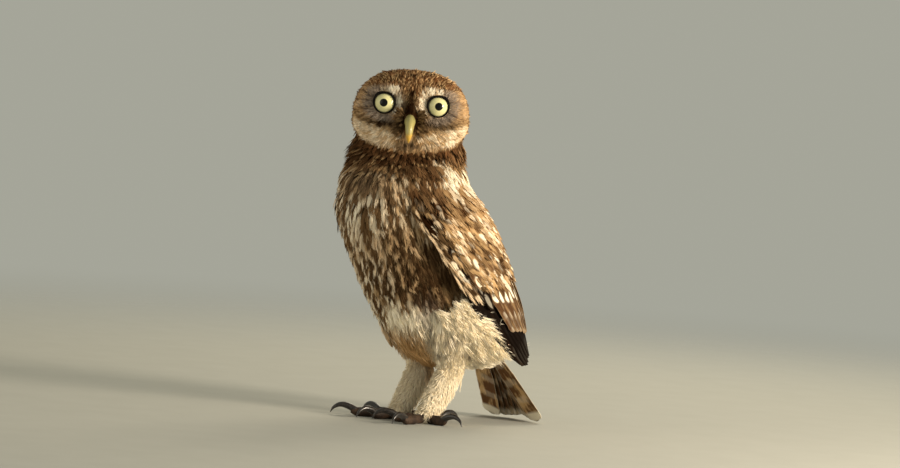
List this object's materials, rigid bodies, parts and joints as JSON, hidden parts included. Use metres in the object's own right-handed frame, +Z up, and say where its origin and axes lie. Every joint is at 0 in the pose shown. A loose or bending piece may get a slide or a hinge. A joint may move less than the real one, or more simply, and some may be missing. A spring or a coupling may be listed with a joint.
{
  "type": "little owl",
  "caption": "Life-size still model of a young little owl standing on both feet, head turned to its left, wings and tail folded.",
  "frame": {"origin": "middle of the owl's box, on the floor that its feet stand on", "axes": "+Z up, -Y the way the body faces, +X the bird's left"},
  "size_m": [0.0834, 0.1446, 0.1916],
  "materials": {
    "plumage": "soft small feathers, brown with buff flecks and streaks",
    "pale_plumage": "loose cream feathers",
    "flight_feathers": "smooth vanes, dark brown with pale spots and bars",
    "iris": "wet and clear over a pale yellow iris and black pupil",
    "bill": "satin horn, greenish yellow with an ochre tip",
    "toe_skin": "rough scaled skin with sparse bristles",
    "claw_horn": "dark polished horn"
  },
  "bodies": {
    "root": {"head": "plumage", "bill_upper": "bill", "bill_lower": "bill", "neck": "plumage", "torso": "plumage", "tail": "flight_feathers", "eye_left": "iris", "wing_left": "flight_feathers", "thigh_left": "pale_plumage", "tarsus_left": "pale_plumage", "foot_left": "pale_plumage", "toe_left_hind": "toe_skin", "claw_left_hind": "claw_horn", "toe_left_inner": "toe_skin", "claw_left_inner": "claw_horn", "toe_left_middle": "toe_skin", "claw_left_middle": "claw_horn", "toe_left_outer": "toe_skin", "claw_left_outer": "claw_horn", "eye_right": "iris", "wing_right": "flight_feathers", "thigh_right": "pale_plumage", "tarsus_right": "pale_plumage", "foot_right": "pale_plumage", "toe_right_hind": "toe_skin", "claw_right_hind": "claw_horn", "toe_right_inner": "toe_skin", "claw_right_inner": "claw_horn", "toe_right_middle": "toe_skin", "claw_right_middle": "claw_horn", "toe_right_outer": "toe_skin", "claw_right_outer": "claw_horn"}
  },
  "joints": []
}
